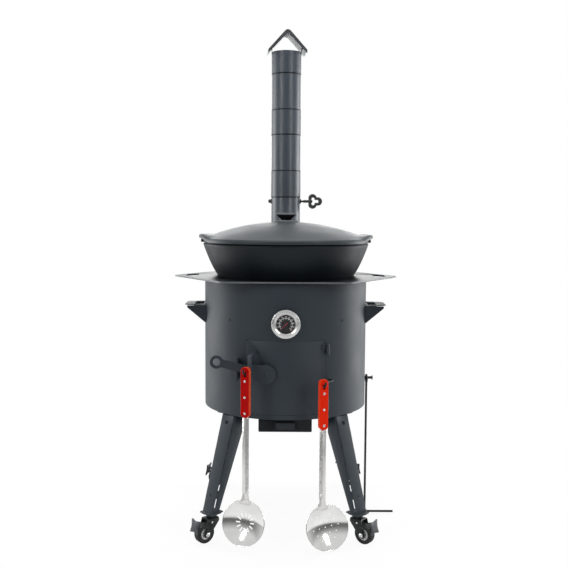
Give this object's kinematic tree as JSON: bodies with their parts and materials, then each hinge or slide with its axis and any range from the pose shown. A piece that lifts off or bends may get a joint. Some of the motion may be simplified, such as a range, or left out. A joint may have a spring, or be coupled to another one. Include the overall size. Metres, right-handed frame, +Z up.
{
  "type": "cauldron stove",
  "caption": "Round wood-fired stove on splayed legs with casters, carrying a lidded cauldron, a chimney with damper, a latched fire door, an ash drawer, skimmers and a poker.",
  "frame": {"origin": "centre of the bounding box, at floor level", "axes": "+Z up, -Y towards the front with the fire door and the dial, +X to the right as seen from the front"},
  "size_m": [0.6006, 0.6375, 1.3675],
  "materials": {
    "powder_coat": "fine matt powder coat",
    "cast_iron": "sand-cast, oiled",
    "chimney_steel": "heat-resistant satin black",
    "stainless": "polished",
    "black_plastic": "satin",
    "red_grip": "glossy",
    "dial_glass": "clear",
    "dial_face": "matt",
    "needle_paint": "matt",
    "caster_steel": "satin",
    "wheel_tread": "satin"
  },
  "bodies": {
    "stove": {"fire_shell": "powder_coat", "base_plate": "powder_coat", "top_plate": "powder_coat", "grate": "cast_iron", "lower_hinge_bracket": "powder_coat", "upper_hinge_bracket": "powder_coat", "latch_catch": "powder_coat", "left_drawer_rail": "powder_coat", "right_drawer_rail": "powder_coat", "thermometer_case": "stainless", "thermometer_dial": "dial_face", "thermometer_glass": "dial_glass", "thermometer_nut": "stainless", "left_handle": "powder_coat", "right_handle": "powder_coat", "flue_tee": "chimney_steel", "damper_pipe": "chimney_steel", "chimney_pipe_lower": "chimney_steel", "chimney_pipe_upper": "chimney_steel", "lower_coupling": "chimney_steel", "upper_coupling": "chimney_steel", "rain_cap": "chimney_steel", "leg_front_left": "powder_coat", "leg_front_right": "powder_coat", "leg_rear_left": "powder_coat", "leg_rear_right": "powder_coat", "caster_plate_front_left": "caster_steel", "caster_plate_front_right": "caster_steel", "caster_plate_rear_left": "caster_steel", "caster_plate_rear_right": "caster_steel", "wire_hook": "powder_coat", "poker_peg": "powder_coat"},
    "cauldron": {"cauldron": "cast_iron"},
    "lid": {"lid": "cast_iron"},
    "door": {"door": "powder_coat", "latch_rivet": "powder_coat", "door_hook": "powder_coat"},
    "latch_bar": {"latch_bar": "powder_coat"},
    "ash_drawer": {"ash_drawer": "powder_coat", "drawer_pull": "powder_coat"},
    "thermometer_needle": {"thermometer_needle": "needle_paint"},
    "damper": {"damper_disc": "chimney_steel", "damper_key": "cast_iron"},
    "caster_fork_front_left": {"caster_fork_front_left": "caster_steel"},
    "caster_wheel_front_left": {"caster_wheel_front_left": "wheel_tread"},
    "brake_pedal_front_left": {"brake_pedal_front_left": "black_plastic"},
    "caster_fork_front_right": {"caster_fork_front_right": "caster_steel"},
    "caster_wheel_front_right": {"caster_wheel_front_right": "wheel_tread"},
    "brake_pedal_front_right": {"brake_pedal_front_right": "black_plastic"},
    "caster_fork_rear_left": {"caster_fork_rear_left": "caster_steel"},
    "caster_wheel_rear_left": {"caster_wheel_rear_left": "wheel_tread"},
    "brake_pedal_rear_left": {"brake_pedal_rear_left": "black_plastic"},
    "caster_fork_rear_right": {"caster_fork_rear_right": "caster_steel"},
    "caster_wheel_rear_right": {"caster_wheel_rear_right": "wheel_tread"},
    "brake_pedal_rear_right": {"brake_pedal_rear_right": "black_plastic"},
    "slotted_skimmer": {"slotted_skimmer": "stainless", "slotted_skimmer_grip": "red_grip"},
    "holed_skimmer": {"holed_skimmer": "stainless", "holed_skimmer_grip": "red_grip"},
    "poker": {"poker": "chimney_steel"}
  },
  "joints": [
    {"name": "cauldron_lift", "type": "slide", "parent": "stove", "child": "cauldron", "axis": [0, 0, 1], "range_m": [0, 0.3]},
    {"name": "lid_lift", "type": "slide", "parent": "cauldron", "child": "lid", "axis": [0, 0, 1], "range_m": [0, 0.35]},
    {"name": "door_swing", "type": "hinge", "parent": "stove", "child": "door", "pos_m": [0.105, -0.2164, 0.3253], "axis": [0, 0, 1], "range_deg": [0, 50]},
    {"name": "latch_turn", "type": "hinge", "parent": "door", "child": "latch_bar", "pos_m": [-0.048, -0.24131, 0.428], "axis": [0, 1, 0], "range_deg": [-13.5, 20]},
    {"name": "drawer_slide", "type": "slide", "parent": "stove", "child": "ash_drawer", "axis": [0, 1, 0], "range_m": [-0.2, 0]},
    {"name": "needle_turn", "type": "hinge", "parent": "stove", "child": "thermometer_needle", "pos_m": [0, -0.23631, 0.5533], "axis": [0, 1, 0], "range_deg": [0, 270]},
    {"name": "damper_turn", "type": "hinge", "parent": "stove", "child": "damper", "pos_m": [0, 0.26629, 0.8646], "axis": [1, 0, 0], "range_deg": [0, 90]},
    {"name": "caster_swivel_front_left", "type": "hinge", "parent": "stove", "child": "caster_fork_front_left", "pos_m": [-0.18398, -0.22481, 0.0724], "axis": [0, 0, 1], "continuous": true},
    {"name": "wheel_spin_front_left", "type": "hinge", "parent": "caster_fork_front_left", "child": "caster_wheel_front_left", "pos_m": [-0.20108, -0.23865, 0.025], "axis": [-0.6293, 0.7771, 0], "continuous": true},
    {"name": "brake_press_front_left", "type": "hinge", "parent": "caster_fork_front_left", "child": "brake_pedal_front_left", "pos_m": [-0.20108, -0.23865, 0.025], "axis": [0.6293, -0.7771, 0], "range_deg": [0, 12]},
    {"name": "caster_swivel_front_right", "type": "hinge", "parent": "stove", "child": "caster_fork_front_right", "pos_m": [0.18398, -0.22481, 0.0724], "axis": [0, 0, 1], "continuous": true},
    {"name": "wheel_spin_front_right", "type": "hinge", "parent": "caster_fork_front_right", "child": "caster_wheel_front_right", "pos_m": [0.20108, -0.23865, 0.025], "axis": [-0.6293, -0.7771, 0], "continuous": true},
    {"name": "brake_press_front_right", "type": "hinge", "parent": "caster_fork_front_right", "child": "brake_pedal_front_right", "pos_m": [0.20108, -0.23865, 0.025], "axis": [0.6293, 0.7771, 0], "range_deg": [0, 12]},
    {"name": "caster_swivel_rear_left", "type": "hinge", "parent": "stove", "child": "caster_fork_rear_left", "pos_m": [-0.18398, 0.18818, 0.0724], "axis": [0, 0, 1], "continuous": true},
    {"name": "wheel_spin_rear_left", "type": "hinge", "parent": "caster_fork_rear_left", "child": "caster_wheel_rear_left", "pos_m": [-0.20502, 0.19461, 0.025], "axis": [0.2924, 0.9563, 0], "continuous": true},
    {"name": "brake_press_rear_left", "type": "hinge", "parent": "caster_fork_rear_left", "child": "brake_pedal_rear_left", "pos_m": [-0.20502, 0.19461, 0.025], "axis": [-0.2924, -0.9563, 0], "range_deg": [0, 12]},
    {"name": "caster_swivel_rear_right", "type": "hinge", "parent": "stove", "child": "caster_fork_rear_right", "pos_m": [0.18398, 0.18818, 0.0724], "axis": [0, 0, 1], "continuous": true},
    {"name": "wheel_spin_rear_right", "type": "hinge", "parent": "caster_fork_rear_right", "child": "caster_wheel_rear_right", "pos_m": [0.20083, 0.20232, 0.025], "axis": [0.6428, -0.766, 0], "continuous": true},
    {"name": "brake_press_rear_right", "type": "hinge", "parent": "caster_fork_rear_right", "child": "brake_pedal_rear_right", "pos_m": [0.20083, 0.20232, 0.025], "axis": [-0.6428, 0.766, 0], "range_deg": [0, 12]},
    {"name": "slotted_skimmer_swing", "type": "hinge", "parent": "door", "child": "slotted_skimmer", "pos_m": [-0.09377, -0.27736, 0.4418], "axis": [-0.9403, 0.3404, 0], "range_deg": [0, 25]},
    {"name": "holed_skimmer_swing", "type": "hinge", "parent": "stove", "child": "holed_skimmer", "pos_m": [0.08924, -0.27896, 0.4133], "axis": [-0.9461, -0.3239, 0], "range_deg": [0, 25]},
    {"name": "poker_swing", "type": "hinge", "parent": "stove", "child": "poker", "pos_m": [0.222, -0.03331, 0.3805], "axis": [1, 0, 0], "range_deg": [-15, 15]}
  ]
}
